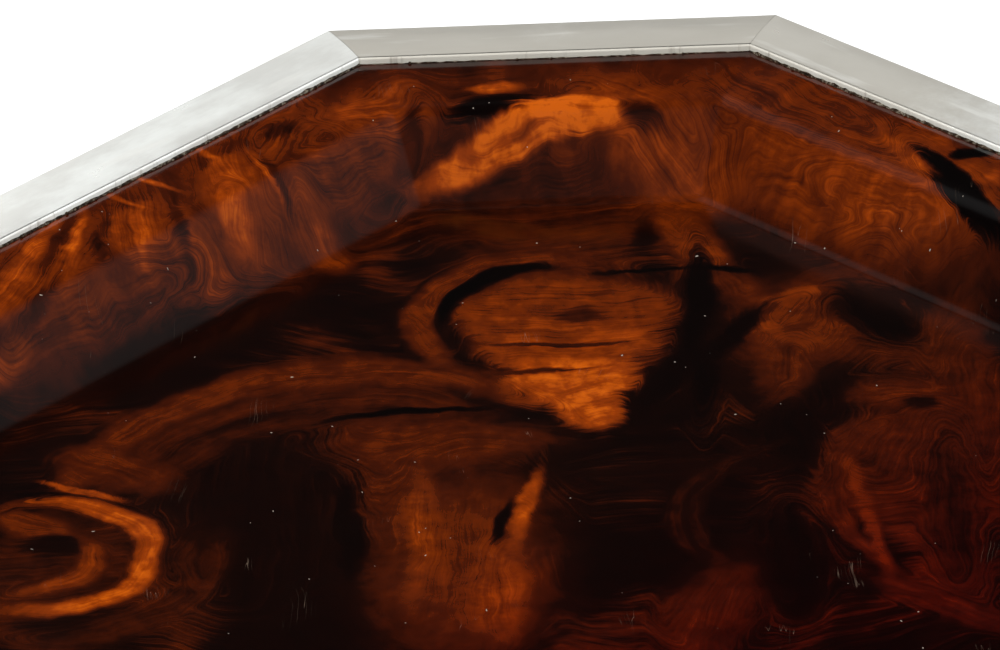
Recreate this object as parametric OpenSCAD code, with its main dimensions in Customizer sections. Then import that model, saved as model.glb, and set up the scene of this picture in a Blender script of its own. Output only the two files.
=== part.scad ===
// Tray table: a mitred metal rim round a moulded pan with canted corners, lifted off a
// folding stand of flat bars. Millimetres, +Z up, origin on the floor under the middle of
// the tray. The stand's pivot and the rails that carry the tray run along X.

/* [Tray] */
// Length of the tray along X
tray_length = 600; // [560:10:640]
// Width of the tray along Y
tray_width = 480; // [460:10:500]
// How far each canted corner cuts back along both sides
corner_cut = 106.6; // [100:0.2:115]
// Height of the rim's highest edge above the floor
table_height = 540; // [520:10:580]
// Depth of the pan's floor below the rim's outer top edge
tray_depth = 29.6; // [27:0.2:33]
// Distance from the tray's outer edge to the edge of its flat floor
floor_inset = 74.4; // [72:0.2:78]
// Slope of the wall above the horizontal, in degrees
wall_slope = 53; // [49:1:56]
// Slope of the shelf between the rim and the wall, in degrees
shelf_slope = 8; // [6:1:9]
// Radius of the fold between the floor and the wall
fold_radius = 6; // [4:0.5:7]
// Radius of the shoulder between the wall and the shelf
shoulder_radius = 10.5; // [7:0.5:13]
// Thickness of the pan
pan_thickness = 3; // [2.5:0.5:3.5]

/* [Rim] */
// Width of the rim seen from above
rim_width = 25.4; // [24:0.2:27]
// Height of the rim's inner edge above its outer edge
rim_crown = 2.3; // [2:0.1:2.8]
// Height of the rim's inner edge above the pan
rim_lip = 2.7; // [2.4:0.1:3]
// Thickness of the rim's strip beside its outer edge
rim_thickness = 1.8; // [1.6:0.1:2]
// Depth of the skirt that turns down at the outer edge
skirt_depth = 15; // [14:1:18]
// Thickness of the skirt
skirt_thickness = 1.5; // [1.3:0.1:1.7]
// Radius of the rim's outer top edge
rim_edge_radius = 1.2; // [1:0.1:1.5]

/* [Base] */
// Thickness of the board under the pan
board_thickness = 9; // [8:1:10]
// Thickness of the felt pad under the board
pad_thickness = 2; // [1.5:0.5:3]

/* [Stand] */
// Distance between the middles of the two outer bars
stand_width = 420; // [400:5:430]
// Height of the pivot above the floor
pivot_height = 262; // [250:2:270]
// Width of each flat bar
bar_width = 22; // [20:1:24]
// Thickness of each flat bar
bar_thickness = 6; // [5:0.5:6.5]
// Diameter of the top rails
rail_d = 16; // [14:1:17]
// Diameter of the lower stretchers
stretcher_d = 12; // [10:1:12]
// Distance from the pivot down each bar to its stretcher
stretcher_drop = 180; // [160:5:200]
// Gap between an outer bar and the inner bar beside it
bar_gap = 4.5; // [4.2:0.1:5]
// Diameter of the pivot bolts
pivot_d = 8; // [6:1:8]

/* [Straps] */
// Width of each strap
strap_width = 30; // [24:2:34]
// Thickness of each strap
strap_thickness = 2; // [1.5:0.5:2.5]
// Distance of each strap from the middle of the stand
strap_x = 120; // [110:2:150]

/* [Hidden] */

SIDES = 8;
SIDE_ANGLE = 45;
MITRE = SIDE_ANGLE / 2;
ARC_STEPS = 8;
BIG = 2000;
silver = [0.86, 0.86, 0.83];
tortoiseshell = [0.36, 0.13, 0.04];
$fn = 48;

// Tray: heights are measured up from the floor, insets inward from the tray's outer edge
half = [tray_length / 2, tray_width / 2];
rim_z = table_height - rim_crown;
flange_z = table_height - rim_lip;
flange_inset = 7;
flange_play = 0.4;
floor_z = rim_z - tray_depth;
shelf_inset = rim_width + 0.8;
board_top_z = floor_z - pan_thickness;
board_inset = floor_inset + 4;
pad_top_z = board_top_z - board_thickness;
pad_bottom_z = pad_top_z - pad_thickness;
pad_inset = board_inset + 4;

// The shelf line and the wall line, their crossing and the shoulder that rounds it
fold_centre = [floor_inset, floor_z + fold_radius];
wall_foot = fold_centre - fold_radius * [sin(wall_slope), cos(wall_slope)];
crossing_inset = (wall_foot.y + wall_foot.x * tan(wall_slope) - flange_z - shelf_inset * tan(shelf_slope))
    / (tan(wall_slope) - tan(shelf_slope));
crossing = [crossing_inset, flange_z - (crossing_inset - shelf_inset) * tan(shelf_slope)];
shoulder_tangent = shoulder_radius * tan((wall_slope - shelf_slope) / 2);
shoulder_centre = crossing
    + shoulder_tangent * [-cos(shelf_slope), sin(shelf_slope)]
    - shoulder_radius * [sin(shelf_slope), cos(shelf_slope)];

// Rim fixings
stud_d = 4;
stud_inset = 15.5;
stud_end_gap = 32;
stud_length = 10;
strip_end_gap = 14;
strip_width = 11;
strip_thickness = 2;
nut_m4 = [7, 3.2];
bracket_leg = 22;
bracket_thickness = 1.5;
bracket_height = 6;
bracket_bottom = 2;

// Stand: rails lie at y = +-rail_y, and the outer frame's rail is the near one
rivet_head = [9, 0.8];
tray_seat_gap = 0.3;
strap_fit = 0.15;
loop_r = rail_d / 2 + strap_fit;
cleat_play = 0.5;
rail_y = half.y - board_inset - cleat_play - rail_d / 2;
rail_z = pad_bottom_z - tray_seat_gap - rivet_head[1] - strap_thickness - loop_r;
foot_z = 12;
lean = atan(rail_y / (rail_z - pivot_height));
bar_top_length = (rail_z - pivot_height) / cos(lean);
bar_foot_length = (pivot_height - foot_z) / cos(lean);
outer_x = stand_width / 2;
inner_x = outer_x - bar_thickness - bar_gap;
outer_inside_x = outer_x - bar_thickness / 2;
inner_inside_x = inner_x - bar_thickness / 2;
inner_outside_x = inner_x + bar_thickness / 2;
pivot_fit = 0.05;
screw_d = 6;
screw_hole_d = 6.4;
screw_depth = 14;
screw_head = [11, 3.2];
countersunk_d = 11;
shoe_wall = 1.8;
shoe_length = 26;
bolt_head = [16, 4];
nut_m8 = [13, 7];
spacer_fit = 0.2;
washer = [16, 1];

// Straps and cleats
strap_end = 20;
rivet_from_rail = 14.5;
rivet_d = 4;
rivet_pitch = 16;
cleat_x = 60;
cleat_width = 26;
cleat_thickness = 2;
cleat_rise = 3.5;
cleat_drop = 20.5;
cleat_tip_r = 5;
cleat_screw_pitch = 14;
cleat_screw_d = 2.9;
cleat_screw_depth = 10;
cleat_screw_head = [7, 1.6];

// Points of an arc round centre c, from angle a0 to a1; angle 0 looks straight up and
// positive angles turn towards the middle of the tray
function arc(c, r, a0, a1) =
    [for (i = [0 : ARC_STEPS]) let (a = a0 + (a1 - a0) * i / ARC_STEPS) c + r * [sin(a), cos(a)]];

// Corners of the tray's outline at an inset, counter-clockwise; corners k - 1 and k end side k
function outline(inset) =
    let (x = half.x - inset, y = half.y - inset, cut = corner_cut - inset * (2 - sqrt(2)))
    [[x, y - cut], [x - cut, y], [-x + cut, y], [-x, y - cut],
     [-x, -y + cut], [-x + cut, -y], [x - cut, -y], [x, -y + cut]];

// Side k faces the direction at angle k * SIDE_ANGLE; its two ends, middle and length
function side_ends(k, inset = 0) =
    let (o = outline(inset)) [o[(k + SIDES - 1) % SIDES], o[k % SIDES]];
function side_middle(k, inset = 0) = let (e = side_ends(k, inset)) (e[0] + e[1]) / 2;
function side_length(k, inset = 0) = let (e = side_ends(k, inset)) norm(e[1] - e[0]);
function studs_on(k) = side_length(k) > 250 ? 3 : 2;

// Its children on side k: +X points out of the tray, +Y runs along the side, and the origin
// is on the side's middle at the inset
module on_side(k, inset = 0) {
    translate(side_middle(k, inset)) rotate(k * SIDE_ANGLE) children();
}

// The stretch of plan that belongs to side k, between the mitres at its two ends
module side_sector(k) {
    ends = side_ends(k);
    before = [cos((k - 0.5) * SIDE_ANGLE), sin((k - 0.5) * SIDE_ANGLE)];
    after = [cos((k + 0.5) * SIDE_ANGLE), sin((k + 0.5) * SIDE_ANGLE)];
    deep = 2 * rim_width;
    linear_extrude(height = BIG)
        polygon([ends[0] + before, ends[1] + after, ends[1] - deep * after, ends[0] - deep * before]);
}

// Its children at each stud, on the floor plane
module at_studs() {
    for (k = [0 : SIDES - 1])
        let (n = studs_on(k), pitch = (side_length(k, stud_inset) - 2 * stud_end_gap) / (n - 1))
            on_side(k, stud_inset)
                for (i = [0 : n - 1]) translate([0, (i - (n - 1) / 2) * pitch, 0]) children();
}

// A slab with the tray's outline at an inset
module slab(inset, bottom_z, thickness) {
    translate([0, 0, bottom_z]) linear_extrude(height = thickness) polygon(outline(inset));
}

// A hexagonal nut, across flats size[0] and size[1] high
module hex_nut(size, bore) {
    difference() {
        cylinder(h = size[1], r = size[0] / 2 / cos(30), $fn = 6);
        translate([0, 0, -1]) cylinder(h = size[1] + 2, d = bore);
    }
}

// ---- Tray ----

// Section of the pan as [inset, height], in along its top face and back along its underside
pan_section = concat(
    [[flange_inset, flange_z], [shelf_inset, flange_z]],
    arc(shoulder_centre, shoulder_radius, shelf_slope, wall_slope),
    arc(fold_centre, -fold_radius, wall_slope, 0),
    arc(fold_centre, -fold_radius - pan_thickness, 0, wall_slope),
    arc(shoulder_centre, shoulder_radius - pan_thickness, wall_slope, shelf_slope),
    [[shelf_inset, flange_z - pan_thickness], [flange_inset, flange_z - pan_thickness]]
);

// A closed solid whose section runs round the outline. With floors the section starts and
// ends at the outer edge, and its middle two points bound the two faces of a floor.
module swept(section, floors) {
    n = len(section);
    points = [for (p = section, q = outline(p.x)) [q.x, q.y, p.y]];
    ring_faces = [for (i = [0 : n - 1], k = [0 : SIDES - 1])
        if (!floors || i != n / 2 - 1)
            let (j = (i + 1) % n, m = (k + 1) % SIDES)
            [i * SIDES + k, j * SIDES + k, j * SIDES + m, i * SIDES + m]];
    floor_faces = floors ? [
        [for (k = [SIDES - 1 : -1 : 0]) (n / 2 - 1) * SIDES + k],
        [for (k = [0 : SIDES - 1]) n / 2 * SIDES + k]
    ] : [];
    polyhedron(points, concat(ring_faces, floor_faces));
}

module tray_pan() {
    color(tortoiseshell) difference() {
        swept(pan_section, true);
        at_studs() translate([0, 0, flange_z - pan_thickness - 1])
            cylinder(h = pan_thickness + 2, d = stud_d + 0.6);
    }
}

// Section of the rim as [inset, height]: a strip with a crowned top and a rounded outer
// edge, rebated for the pan's flange, and the skirt below it
rim_section = concat(
    [[skirt_thickness, rim_z - skirt_depth], [0, rim_z - skirt_depth]],
    arc([rim_edge_radius, rim_z - rim_edge_radius], rim_edge_radius, -90, 0),
    [for (i = [1 : ARC_STEPS]) let (t = i / ARC_STEPS)
        [rim_edge_radius + t * (rim_width - rim_edge_radius), rim_z + rim_crown * sin(90 * t)]],
    [[rim_width, flange_z], [flange_inset - flange_play, flange_z],
     [flange_inset - flange_play, rim_z - rim_thickness], [skirt_thickness, rim_z - rim_thickness]]
);

module rim_bar(i) {
    k = i - 1;
    color(silver) intersection() {
        on_side(k) translate([0, tray_length / 2, 0]) rotate([90, 0, 0])
            linear_extrude(height = tray_length) polygon([for (p = rim_section) [-p.x, p.y]]);
        side_sector(k);
    }
}

// Angle plates inside the skirt, across the mitres
module corner_brackets() {
    color("goldenrod") for (k = [0 : SIDES - 1])
        intersection() {
            difference() {
                slab(skirt_thickness, rim_z - skirt_depth + bracket_bottom, bracket_height);
                slab(skirt_thickness + bracket_thickness, 0, BIG);
            }
            translate(outline(0)[k]) rotate((k + 0.5) * SIDE_ANGLE)
                linear_extrude(height = BIG) square(2 * bracket_leg * cos(MITRE), center = true);
        }
}

module rim_studs() {
    color("goldenrod") at_studs()
        translate([0, 0, flange_z - stud_length]) cylinder(h = stud_length, d = stud_d);
}

module retaining_strips() {
    bottom_z = flange_z - pan_thickness - strip_thickness;
    color("goldenrod") difference() {
        for (k = [0 : SIDES - 1])
            let (length = side_length(k, stud_inset) - 2 * strip_end_gap)
                on_side(k, stud_inset)
                    translate([-strip_width / 2, -length / 2, bottom_z])
                        cube([strip_width, length, strip_thickness]);
        at_studs() translate([0, 0, bottom_z - 1])
            cylinder(h = strip_thickness + 2, d = stud_d + 0.4);
    }
}

module stud_nuts() {
    color("silver") at_studs()
        translate([0, 0, flange_z - pan_thickness - strip_thickness - nut_m4[1]])
            hex_nut(nut_m4, stud_d + 0.04);
}

// Bead of clear resin in the angle between the rim and the pan
module resin_bead() {
    bead = 0.75;
    color([0.30, 0.20, 0.12]) swept([
        [rim_width, flange_z],
        [rim_width, flange_z + bead],
        [rim_width + bead, flange_z]
    ], false);
}

module base_board() {
    color([0.13, 0.10, 0.08]) difference() {
        slab(board_inset, pad_top_z, board_thickness);
        at_cleats() at_cleat_screws() translate([0, 0, -cleat_screw_depth - 1])
            cylinder(h = cleat_screw_depth + 2, d = cleat_screw_d + 0.1);
    }
}

module base_pad() {
    color([0.10, 0.12, 0.10]) slab(pad_inset, pad_bottom_z, pad_thickness);
}

// Its children at each cleat: the origin is on the board's edge face, +Y points out of it
module at_cleats() {
    for (x = [-cleat_x, cleat_x], turn = [0, 180])
        rotate(turn) translate([x, half.y - board_inset, board_top_z - board_thickness / 2])
            children();
}

// Its children at the two screws of a cleat, with +Z out of the board's edge
module at_cleat_screws() {
    for (x = [-cleat_screw_pitch / 2, cleat_screw_pitch / 2])
        translate([x, 0, 0]) rotate([-90, 0, 0]) children();
}

// Outline of a cleat with +Y down and its origin at the middle of the board's edge
module cleat_outline() {
    for (side = [-1, 1])
        translate([side * (cleat_width / 2 - cleat_tip_r), cleat_drop - cleat_tip_r])
            circle(r = cleat_tip_r);
    translate([-cleat_width / 2, -cleat_rise])
        square([cleat_width, cleat_rise + cleat_drop - cleat_tip_r]);
    translate([-cleat_width / 2 + cleat_tip_r, 0])
        square([cleat_width - 2 * cleat_tip_r, cleat_drop]);
}

// Plates on the board's edge that reach down outside the rails
module tray_cleats() {
    color(silver) at_cleats() difference() {
        rotate([-90, 0, 0]) linear_extrude(height = cleat_thickness) cleat_outline();
        at_cleat_screws() translate([0, 0, -1]) cylinder(h = cleat_thickness + 2, d = 3.4);
    }
}

module cleat_screws() {
    color("silver") at_cleats() at_cleat_screws() {
        translate([0, 0, -cleat_screw_depth])
            cylinder(h = cleat_screw_depth + cleat_thickness, d = cleat_screw_d);
        translate([0, 0, cleat_thickness]) difference() {
            cylinder(h = cleat_screw_head[1], d = cleat_screw_head[0]);
            translate([-cleat_screw_head[0], -0.5, 0.8]) cube([2 * cleat_screw_head[0], 1, 2]);
        }
    }
}

// ---- Stand ----

// Its children in a frame's own bar plane: origin at the pivot, +Y up along the bar.
// side = 1 is the outer frame, whose top leans to -Y, and side = -1 the inner frame.
module in_bar_plane(x, side) {
    translate([x, 0, pivot_height]) rotate([side * lean, 0, 0]) rotate([90, 0, 90]) children();
}

module bar_outline(grow = 0) {
    r = bar_width / 2 + grow;
    translate([0, bar_top_length]) circle(r = r);
    translate([0, -bar_foot_length]) circle(r = r);
    translate([-r, -bar_foot_length]) square([2 * r, bar_foot_length + bar_top_length]);
}

module leg(x, side, pivot_hole_d, countersink) {
    outward = sign(x);
    color(silver) difference() {
        in_bar_plane(x, side)
            linear_extrude(height = bar_thickness, center = true) bar_outline();
        in_bar_plane(x, side) cylinder(h = bar_thickness + 2, d = pivot_hole_d, center = true);
        in_bar_plane(x, side) for (y = [bar_top_length, -stretcher_drop]) translate([0, y, 0]) {
            cylinder(h = bar_thickness + 2, d = screw_hole_d, center = true);
            if (countersink)
                translate([0, 0, outward * (bar_thickness / 2 - 3)])
                    rotate([outward > 0 ? 0 : 180, 0, 0]) countersunk_cone(0.05);
        }
    }
}

// Countersunk head, with its narrow end at the origin and its wide end 3 up +Z
module countersunk_cone(grow = 0) {
    rotate_extrude()
        polygon([[0, 0], [screw_d / 2 + grow, 0], [countersunk_d / 2 + grow, 3 + grow], [0, 3 + grow]]);
}

// A round rail between the two bars of a frame, tapped at both ends
module rail(d, half_length, y, side) {
    in_bar_plane(0, side) translate([0, y, 0]) difference() {
        cylinder(h = 2 * half_length, d = d, center = true);
        for (end = [-1, 1]) translate([0, 0, end * (half_length - screw_depth / 2)])
            cylinder(h = screw_depth + 0.02, d = screw_d + 0.1, center = true);
    }
}

module outer_top_rail() {
    color(silver) rail(rail_d, outer_inside_x, bar_top_length, 1);
}

module outer_stretcher() {
    color(silver) rail(stretcher_d, outer_inside_x, -stretcher_drop, 1);
}

module inner_top_rail() {
    color(silver) rail(rail_d, inner_inside_x, bar_top_length, -1);
}

module inner_stretcher() {
    color(silver) rail(stretcher_d, inner_inside_x, -stretcher_drop, -1);
}

// Its children at the four rail ends of a frame, +Z pointing out of the bar's outer face
module at_rail_ends(x, side) {
    for (end = [-1, 1], y = [bar_top_length, -stretcher_drop])
        in_bar_plane(end * (x + bar_thickness / 2), side) translate([0, y, 0])
            rotate([end > 0 ? 0 : 180, 0, 0]) children();
}

module hex_socket(depth) {
    translate([0, 0, -depth]) cylinder(h = depth + 1, r = 2.3, $fn = 6);
}

module outer_rail_screws() {
    shank = bar_thickness + screw_depth - 2;
    color("silver") at_rail_ends(outer_x, 1) difference() {
        union() {
            translate([0, 0, -shank]) cylinder(h = shank, d = screw_d);
            rotate_extrude() polygon(concat([[0, 0], [screw_head[0] / 2, 0]],
                [for (a = [0 : 15 : 90]) [screw_head[0] / 2 - 1.6 * (1 - cos(a)),
                    screw_head[1] - 1.6 + 1.6 * sin(a)]],
                [[0, screw_head[1]]]));
        }
        translate([0, 0, screw_head[1]]) hex_socket(2);
    }
}

module inner_rail_screws() {
    shank = bar_thickness + screw_depth - 2;
    color("silver") at_rail_ends(inner_x, -1) difference() {
        union() {
            translate([0, 0, -shank]) cylinder(h = shank - 3, d = screw_d);
            translate([0, 0, -3]) countersunk_cone();
        }
        hex_socket(2);
    }
}

// A slip-on shoe round the foot of a bar, cut flat where it stands on the floor
module foot_shoe(x, side) {
    r = bar_width / 2 + shoe_wall;
    difference() {
        in_bar_plane(x, side)
            linear_extrude(height = bar_thickness + 2 * shoe_wall, center = true) {
                translate([0, -bar_foot_length]) circle(r = r);
                translate([-r, -bar_foot_length]) square([2 * r, shoe_length]);
            }
        in_bar_plane(x, side)
            linear_extrude(height = bar_thickness, center = true) bar_outline();
        translate([0, 0, -BIG / 2]) cube([BIG, BIG, BIG], center = true);
    }
}

module outer_foot_shoes() {
    color([0.05, 0.05, 0.05]) for (x = [-outer_x, outer_x]) foot_shoe(x, 1);
}

module inner_foot_shoes() {
    color([0.05, 0.05, 0.05]) for (x = [-inner_x, inner_x]) foot_shoe(x, -1);
}

// Its children at both pivots, origin at depth x from the middle and +Z pointing outward
module at_pivots(x) {
    for (end = [0, 180]) rotate(end) translate([x, 0, pivot_height]) rotate([0, 90, 0]) children();
}

pivot_nut_x = inner_inside_x - spacer_fit - washer[1];

module pivot_bolts() {
    shank = outer_x + bar_thickness / 2 - pivot_nut_x + nut_m8[1] - 1;
    color("silver") at_pivots(outer_x + bar_thickness / 2) difference() {
        union() {
            translate([0, 0, -shank]) cylinder(h = shank, d = pivot_d);
            rotate_extrude() polygon(concat([[0, 0], [bolt_head[0] / 2, 0]],
                [for (a = [0 : 15 : 90]) [bolt_head[0] / 2 - 2.6 * (1 - cos(a)),
                    bolt_head[1] - 2.6 + 2.6 * sin(a)]],
                [[0, bolt_head[1]]]));
        }
        translate([0, 0, bolt_head[1]]) hex_socket(2.4);
    }
}

module pivot_spacers() {
    width = bar_gap - spacer_fit;
    color("goldenrod") at_pivots(inner_outside_x + spacer_fit) difference() {
        cylinder(h = width, d = 18);
        translate([0, 0, -1]) cylinder(h = width + 2, d = pivot_d + 0.2);
    }
}

module pivot_washers() {
    color("goldenrod") at_pivots(pivot_nut_x) difference() {
        cylinder(h = washer[1], d = washer[0]);
        translate([0, 0, -1]) cylinder(h = washer[1] + 2, d = pivot_d + 0.2);
    }
}

// Domed nuts on the inner ends of the pivot bolts
module pivot_nuts() {
    color("silver") at_pivots(pivot_nut_x) rotate([180, 0, 0]) difference() {
        union() {
            cylinder(h = nut_m8[1], r = nut_m8[0] / 2 / cos(30), $fn = 6);
            translate([0, 0, nut_m8[1]]) intersection() {
                sphere(d = nut_m8[0] - 1);
                cylinder(h = nut_m8[0], d = nut_m8[0]);
            }
        }
        translate([0, 0, -1]) cylinder(h = nut_m8[1] + 1, d = pivot_d + 0.04);
    }
}

// Its children at the two rivets of each strap, at the rail on the side that end gives,
// with the origin on the strap's upper face
module at_rivets(end) {
    for (x = [-strap_x, strap_x], across = [-rivet_pitch / 2, rivet_pitch / 2])
        translate([x + across, end * (rail_y - rivet_from_rail), rail_z + loop_r + strap_thickness])
            children();
}

// A flat strap whose ends go round the two rails and are riveted back under it
module strap(x) {
    color([0.20, 0.10, 0.05]) difference() {
        translate([x, 0, rail_z]) rotate([90, 0, 90])
            linear_extrude(height = strap_width, center = true) difference() {
                union() {
                    for (y = [-rail_y, rail_y]) translate([y, 0]) circle(r = loop_r + strap_thickness);
                    translate([-rail_y, loop_r]) square([2 * rail_y, strap_thickness]);
                    for (end = [-1, 1])
                        translate([end * (rail_y - (strap_end + 6) / 2), loop_r - strap_thickness / 2])
                            square([strap_end - 6, strap_thickness], center = true);
                }
                for (y = [-rail_y, rail_y]) translate([y, 0]) circle(r = loop_r);
            }
        for (end = [-1, 1]) at_rivets(end)
            translate([0, 0, -3 * strap_thickness]) cylinder(h = 4 * strap_thickness, d = rivet_d + 0.04);
    }
}

// Rivets through both layers of the straps, with a flat head above and below
module strap_rivets(end) {
    shank = 2 * strap_thickness;
    color("goldenrod") at_rivets(end) {
        translate([0, 0, -shank]) cylinder(h = shank, d = rivet_d);
        cylinder(h = rivet_head[1], d = rivet_head[0]);
        translate([0, 0, -shank - rivet_head[1]]) cylinder(h = rivet_head[1], d = rivet_head[0]);
    }
}

tray_pan();
rim_bar(1);  // rim_bar_1
rim_bar(2);  // rim_bar_2
rim_bar(3);  // rim_bar_3
rim_bar(4);  // rim_bar_4
rim_bar(5);  // rim_bar_5
rim_bar(6);  // rim_bar_6
rim_bar(7);  // rim_bar_7
rim_bar(8);  // rim_bar_8
corner_brackets();
rim_studs();
retaining_strips();
stud_nuts();
resin_bead();
base_board();
base_pad();
tray_cleats();
cleat_screws();
leg(-outer_x, 1, pivot_d + 4 * pivot_fit, false);  // outer_leg_left
leg(outer_x, 1, pivot_d + 4 * pivot_fit, false);  // outer_leg_right
outer_top_rail();
outer_stretcher();
outer_rail_screws();
outer_foot_shoes();
pivot_bolts();
pivot_spacers();
pivot_washers();
pivot_nuts();
strap(-strap_x);  // strap_left
strap(strap_x);  // strap_right
strap_rivets(-1);  // strap_rivets_outer
leg(-inner_x, -1, pivot_d + 2 * pivot_fit, true);  // inner_leg_left
leg(inner_x, -1, pivot_d + 2 * pivot_fit, true);  // inner_leg_right
inner_top_rail();
inner_stretcher();
inner_rail_screws();
inner_foot_shoes();
strap_rivets(1);  // strap_rivets_inner
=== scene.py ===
import math
import random
from collections import namedtuple

import bmesh
import bpy
from mathutils import Matrix, Vector, noise


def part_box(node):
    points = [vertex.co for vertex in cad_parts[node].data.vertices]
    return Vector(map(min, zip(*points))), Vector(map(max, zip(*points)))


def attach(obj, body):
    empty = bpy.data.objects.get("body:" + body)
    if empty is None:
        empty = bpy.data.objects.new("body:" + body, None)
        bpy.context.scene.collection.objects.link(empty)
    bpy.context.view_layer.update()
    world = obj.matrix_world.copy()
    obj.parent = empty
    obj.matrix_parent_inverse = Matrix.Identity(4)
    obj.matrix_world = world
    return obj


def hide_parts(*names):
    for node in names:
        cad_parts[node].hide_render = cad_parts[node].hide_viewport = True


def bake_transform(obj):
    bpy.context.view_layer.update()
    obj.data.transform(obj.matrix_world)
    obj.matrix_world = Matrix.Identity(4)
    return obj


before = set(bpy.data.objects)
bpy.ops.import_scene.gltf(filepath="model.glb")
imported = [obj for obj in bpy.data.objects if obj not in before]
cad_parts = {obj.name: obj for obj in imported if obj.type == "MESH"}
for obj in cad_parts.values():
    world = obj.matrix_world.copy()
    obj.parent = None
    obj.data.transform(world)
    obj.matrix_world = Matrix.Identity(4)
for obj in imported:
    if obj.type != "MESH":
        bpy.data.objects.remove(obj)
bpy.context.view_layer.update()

MM = 0.001

# ---- Sizes of the tray and the straps, as the design has them, in metres ----

rim_low, rim_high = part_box("rim_bar_1")
_, end_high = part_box("rim_bar_3")
HALF_X = rim_high.x
HALF_Y = end_high.y
CORNER_CUT = HALF_Y - rim_high.y
TABLE_HEIGHT = rim_high.z
RIM_WIDTH = rim_high.x - rim_low.x
RIM_CROWN = 2.3 * MM
RIM_Z = TABLE_HEIGHT - RIM_CROWN
SKIRT_BOTTOM = rim_low.z
RIM_EDGE_RADIUS = 1.2 * MM
RIM_LIP_RADIUS = 0.9 * MM
SKIRT_THICKNESS = 1.5 * MM
RIM_THICKNESS = 1.8 * MM
FLANGE_Z = TABLE_HEIGHT - 2.7 * MM
FLANGE_INSET = 7 * MM
PAN_THICKNESS = 3 * MM
FLOOR_Z = RIM_Z - 29.6 * MM
FLOOR_INSET = 74.4 * MM
SHELF_INSET = RIM_WIDTH + 0.8 * MM
WALL_SLOPE = math.radians(53)
SHELF_SLOPE = math.radians(8)
FOLD_RADIUS = 6 * MM
SHOULDER_RADIUS = 10.5 * MM
MITRE_TAN = math.tan(math.radians(22.5))
SIDES = 8

RAIL_RADIUS = 8 * MM
STRAP_WIDTH = 30 * MM
STRAP_THICKNESS = 2 * MM
STRAP_LOOP = RAIL_RADIUS + 0.15 * MM + STRAP_THICKNESS / 2


# ---- Short ways to build meshes ----

def add_object(name, data):
    made = bpy.data.objects.new(name, data)
    bpy.context.scene.collection.objects.link(made)
    return made


def mesh_object(name, points, faces, smooth_angle=math.radians(35)):
    """A mesh piece with its normals split where faces meet more sharply than smooth_angle."""
    mesh = bpy.data.meshes.new(name)
    mesh.from_pydata([tuple(p) for p in points], [], faces)
    mesh.validate()
    mesh.polygons.foreach_set("use_smooth", [True] * len(mesh.polygons))
    mesh.set_sharp_from_angle(angle=smooth_angle)
    return add_object(name, mesh)


def ring_faces(count, rings):
    """Faces between successive rings of count points each, then one that closes each end."""
    faces = []
    for a in range(0, (rings - 1) * count, count):
        b = a + count
        for k in range(count):
            m = (k + 1) % count
            faces.append((a + k, b + k, b + m, a + m))
    last = (rings - 1) * count
    return faces + [tuple(range(count)), tuple(range(last, last + count))[::-1]]


def store(piece, name, values):
    """Keeps one number for each vertex, for the piece's material to read."""
    attribute = piece.data.attributes.new(name, "FLOAT", "POINT")
    attribute.data.foreach_set("value", values)


def wobble(point, size, seed=0.0):
    """Smooth noise from -1 to 1 that varies over about size metres."""
    return noise.noise(Vector(point) / size + Vector((seed, 2 * seed, 3 * seed)))


def arc(centre, radius, start, end, steps):
    """Points of an arc; angle 0 looks straight up and positive angles turn inward."""
    cx, cz = centre
    angles = [start + (end - start) * i / steps for i in range(steps + 1)]
    return [(cx + radius * math.sin(a), cz + radius * math.cos(a)) for a in angles]


# ---- The tray's outline ----

def outline(inset):
    """The eight corners of the tray's outline at an inset, counter-clockwise."""
    x, y = HALF_X - inset, HALF_Y - inset
    cut = CORNER_CUT - inset * (2 - math.sqrt(2))
    return [(x, y - cut), (x - cut, y), (-x + cut, y), (-x, y - cut),
            (-x, -y + cut), (-x + cut, -y), (x - cut, -y), (x, -y + cut)]


def rounded_outline(inset, radius, steps):
    """The outline with its corners rounded, each by an arc of steps + 1 points."""
    points = []
    tangent = radius * MITRE_TAN
    corners = outline(inset)
    for k, (x, y) in enumerate(corners):
        turn = math.radians(45) * k
        out = Vector((math.cos(turn), math.sin(turn)))
        along = Vector((-out.y, out.x))
        centre = Vector((x, y)) - along * tangent - out * radius
        for i in range(steps + 1):
            a = turn + math.radians(45) * i / steps
            points.append(centre + radius * Vector((math.cos(a), math.sin(a))))
    return points


def side_half(k, inset):
    """Half the length of side k at an inset."""
    corners = outline(inset)
    (x0, y0), (x1, y1) = corners[k - 1], corners[k]
    return math.hypot(x1 - x0, y1 - y0) / 2


def side_point(k, inset, along, z):
    """A point on side k, a distance along it from its middle."""
    corners = outline(inset)
    (x0, y0), (x1, y1) = corners[k - 1], corners[k]
    turn = math.radians(45) * k
    return Vector(((x0 + x1) / 2 - math.sin(turn) * along,
                   (y0 + y1) / 2 + math.cos(turn) * along, z))


# ---- Pan ----

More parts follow.
